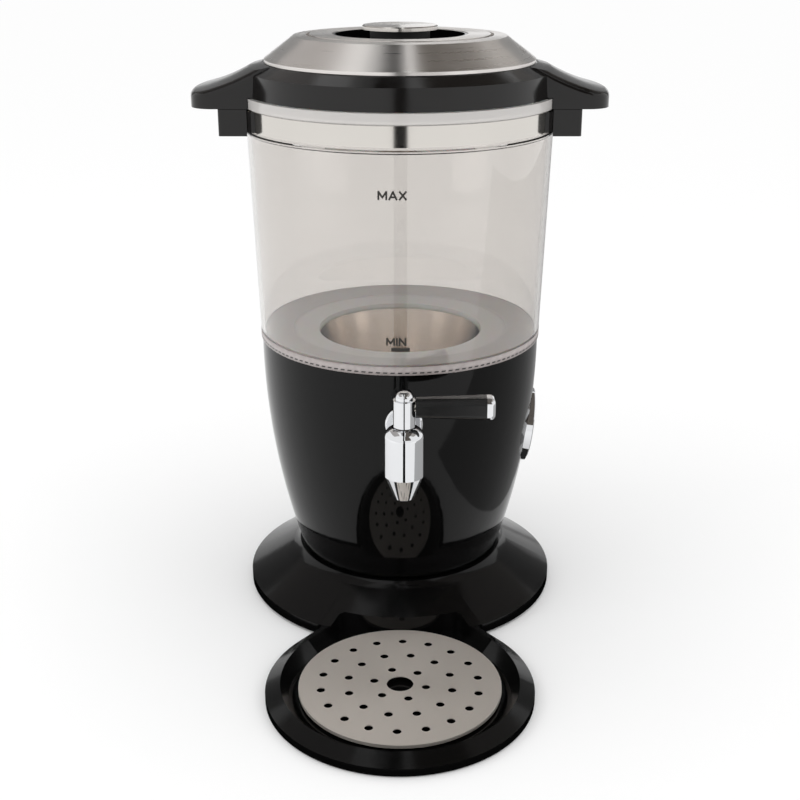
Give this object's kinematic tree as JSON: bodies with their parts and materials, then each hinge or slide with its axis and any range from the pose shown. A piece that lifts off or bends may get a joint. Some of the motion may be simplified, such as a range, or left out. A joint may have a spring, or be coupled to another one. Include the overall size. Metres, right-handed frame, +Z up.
{
  "type": "electric samovar",
  "caption": "Electric samovar with a clear tapered vessel on a black body, steel lid with a steam cap, two wing grips, quarter-turn tap, heat dial and lift-off drip tray.",
  "frame": {"origin": "on the vertical axis of the vessel, at table height, under the middle of the base", "axes": "+Z up, -Y towards the tap and the drip tray at the front, +X towards the heat dial on the right"},
  "size_m": [0.321, 0.4232, 0.4679],
  "materials": {
    "gloss_black": "glossy moulded plastic",
    "matte_black": "fine matte moulded plastic",
    "clear_plastic": "clear moulded plastic",
    "frosted_plastic": "translucent moulded plastic",
    "brushed_steel": "brushed stainless sheet",
    "pressed_steel": "pressed stainless sheet",
    "polished_steel": "polished stainless",
    "chrome_plate": "bright chrome plate",
    "brass": "turned brass",
    "cast_aluminium": "die cast",
    "silicone": "moulded silicone",
    "rubber": "moulded rubber",
    "ceramic": "pressed ceramic",
    "zinc_screws": "zinc plated steel"
  },
  "bodies": {
    "base_unit": {"band_saddles": "gloss_black", "base_cover": "matte_black", "base_disc": "gloss_black", "base_screws": "zinc_screws", "body_shell": "gloss_black", "bowl_gasket": "silicone", "clamp_band": "polished_steel", "collar": "gloss_black", "collar_gasket": "silicone", "cord_gland": "matte_black", "dial_bezel": "chrome_plate", "element_pins": "zinc_screws", "flange_screws": "zinc_screws", "floor_ring": "frosted_plastic", "gland_nut": "matte_black", "handle_lugs": "gloss_black", "heating_plate": "cast_aluminium", "inner_bowl": "pressed_steel", "lug_screws": "zinc_screws", "rubber_feet": "rubber", "spout_insert": "silicone", "tap_body": "chrome_plate", "tap_bonnet": "brass", "tap_lock_nut": "brass", "tap_rosette": "chrome_plate", "tap_seal": "rubber", "terminal_block": "matte_black", "thermal_cutout": "ceramic", "thermostat": "ceramic", "thermostat_nut": "brass", "tie_screws": "zinc_screws", "vessel": "clear_plastic", "vessel_gasket": "silicone"},
    "lid": {"lid_cover": "brushed_steel", "lid_base": "matte_black", "lid_well": "gloss_black", "lid_screws": "zinc_screws", "lid_gasket": "silicone"},
    "steam_cap": {"steam_cap": "polished_steel", "cap_plug": "matte_black", "cap_seal": "silicone"},
    "tap_lever": {"valve_plug": "brass", "lever_hub": "chrome_plate", "hub_cap": "chrome_plate", "lever_stub": "polished_steel", "lever_grip": "gloss_black", "lever_end_cap": "chrome_plate"},
    "dial": {"dial_knob": "chrome_plate", "dial_pointer": "matte_black", "thermostat_shaft": "brass"},
    "drip_tray": {"drip_tray": "gloss_black", "tray_pads": "rubber"},
    "drip_plate": {"drip_plate": "brushed_steel"}
  },
  "joints": [
    {"name": "lid_lift", "type": "slide", "parent": "base_unit", "child": "lid", "axis": [0, 0, 1], "range_m": [0, 0.12]},
    {"name": "steam_cap_lift", "type": "slide", "parent": "lid", "child": "steam_cap", "axis": [0, 0, 1], "range_m": [0, 0.04]},
    {"name": "tap_turn", "type": "hinge", "parent": "base_unit", "child": "tap_lever", "pos_m": [0.003, -0.15006, 0.2], "axis": [0, 0, -1], "range_deg": [0, 90]},
    {"name": "dial_turn", "type": "hinge", "parent": "base_unit", "child": "dial", "pos_m": [0.10795, 0, 0.1405], "axis": [0.9912, 0, -0.1327], "range_deg": [-270, 0]},
    {"name": "tray_pull", "type": "slide", "parent": "base_unit", "child": "drip_tray", "axis": [0, -1, 0], "range_m": [0, 0.08]},
    {"name": "plate_lift", "type": "slide", "parent": "drip_tray", "child": "drip_plate", "axis": [0, 0, 1], "range_m": [0, 0.05]}
  ]
}
